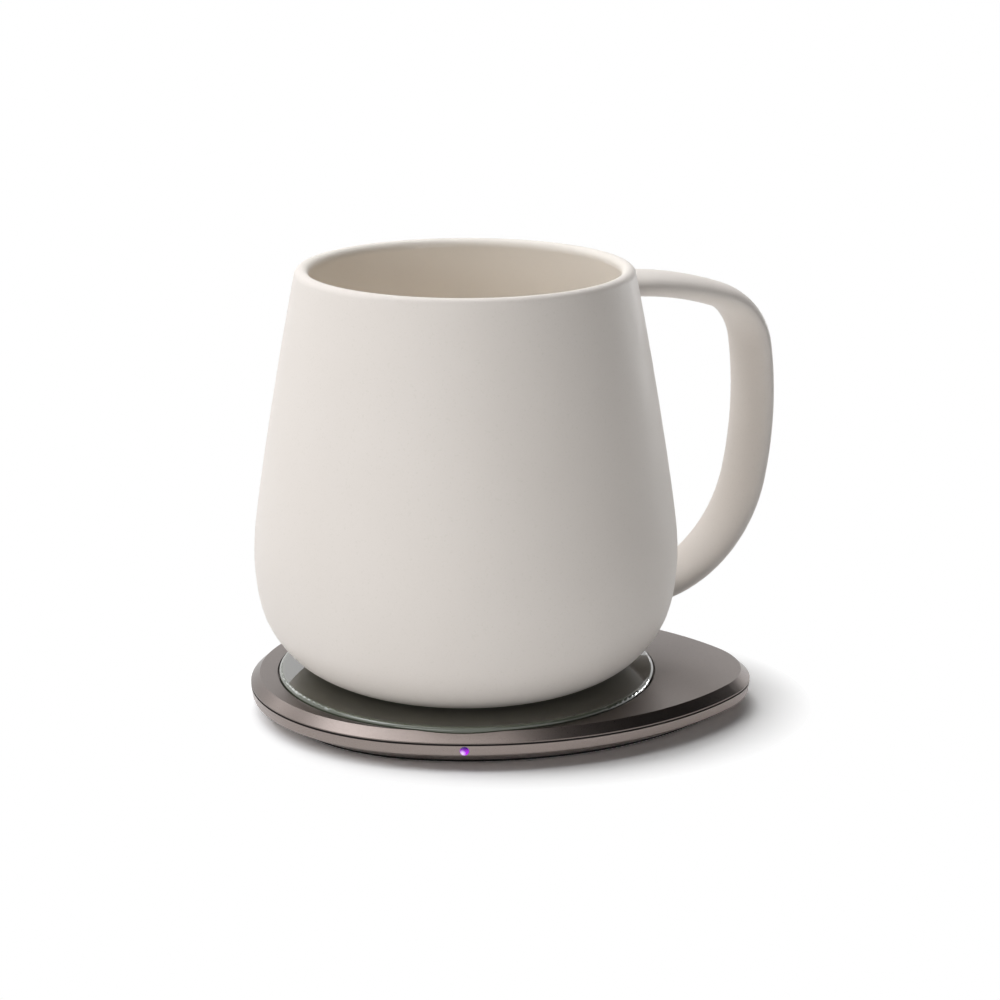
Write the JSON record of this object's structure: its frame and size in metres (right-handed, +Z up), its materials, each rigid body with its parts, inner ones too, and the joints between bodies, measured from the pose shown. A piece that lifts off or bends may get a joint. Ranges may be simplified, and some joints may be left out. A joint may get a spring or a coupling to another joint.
{
  "type": "self heating mug",
  "caption": "Matte ceramic mug with an oval strap handle and a heater sealed in its base, resting on an egg-shaped metal power pad with a round glass plate and an indicator lamp.",
  "frame": {"origin": "on the surface that the pad stands on, under the middle of the round glass plate", "axes": "+Z up; +X towards the pad's narrow end; -Y towards the indicator lamp"},
  "size_m": [0.1203, 0.0942, 0.1002],
  "materials": {
    "anodised_metal": "bead-blasted, anodised warm grey",
    "black_rubber": "matte silicone rubber",
    "plate_glass": "tinted, polished, printed grey underneath",
    "bond_film": "black adhesive film",
    "cushion_foam": "grey silicone foam",
    "carrier_plastic": "moulded, fine texture",
    "ferrite": "sintered, matte",
    "copper_strand": "enamelled copper strand",
    "sensor_epoxy": "dipped epoxy",
    "circuit_board": "solder mask over glass fibre",
    "capacitor_case": "moulded case",
    "capacitor_can": "drawn can",
    "chip_epoxy": "moulded epoxy",
    "socket_steel": "folded, nickel plated",
    "socket_plastic": "moulded",
    "lamp_case": "moulded white",
    "lamp_violet": "clear rod lit violet",
    "screw_steel": "blackened steel",
    "mug_ceramic": "matte off-white glaze",
    "base_plastic": "heat-resistant, off-white",
    "seal_silicone": "soft silicone",
    "insulation": "pressed fibre blanket",
    "heating_film": "polyimide over etched foil",
    "cutout_case": "drawn case"
  },
  "bodies": {
    "pad": {"pad_top_shell": "anodised_metal", "pad_bottom_shell": "anodised_metal", "seam_gasket": "black_rubber", "glass_plate": "plate_glass", "glass_bond_ring": "bond_film", "coil_cushion": "cushion_foam", "coil_carrier": "carrier_plastic", "transmitter_ferrite": "ferrite", "transmitter_coil": "copper_strand", "plate_sensor": "sensor_epoxy", "main_board": "circuit_board", "power_inductor": "ferrite", "tuning_capacitors": "capacitor_case", "smoothing_capacitors": "capacitor_can", "drive_transistors": "chip_epoxy", "controller_chip": "chip_epoxy", "power_socket_shell": "socket_steel", "power_socket_tongue": "socket_plastic", "lamp_source": "lamp_case", "lamp_lens": "lamp_violet", "anti_slip_sheet": "black_rubber", "case_screws": "screw_steel", "carrier_screws": "screw_steel"},
    "mug": {"mug_body": "mug_ceramic", "base_cover": "base_plastic", "base_seal": "seal_silicone", "receiver_coil": "copper_strand", "receiver_ferrite": "ferrite", "receiver_board": "circuit_board", "receiver_rectifiers": "chip_epoxy", "receiver_capacitors": "capacitor_case", "insulation_blanket": "insulation", "heating_film": "heating_film", "drink_sensor": "sensor_epoxy", "thermal_cutout": "cutout_case"}
  },
  "joints": [
    {"name": "mug_lift", "type": "slide", "parent": "pad", "child": "mug", "axis": [0, 0, 1], "range_m": [0, 0.08]}
  ]
}
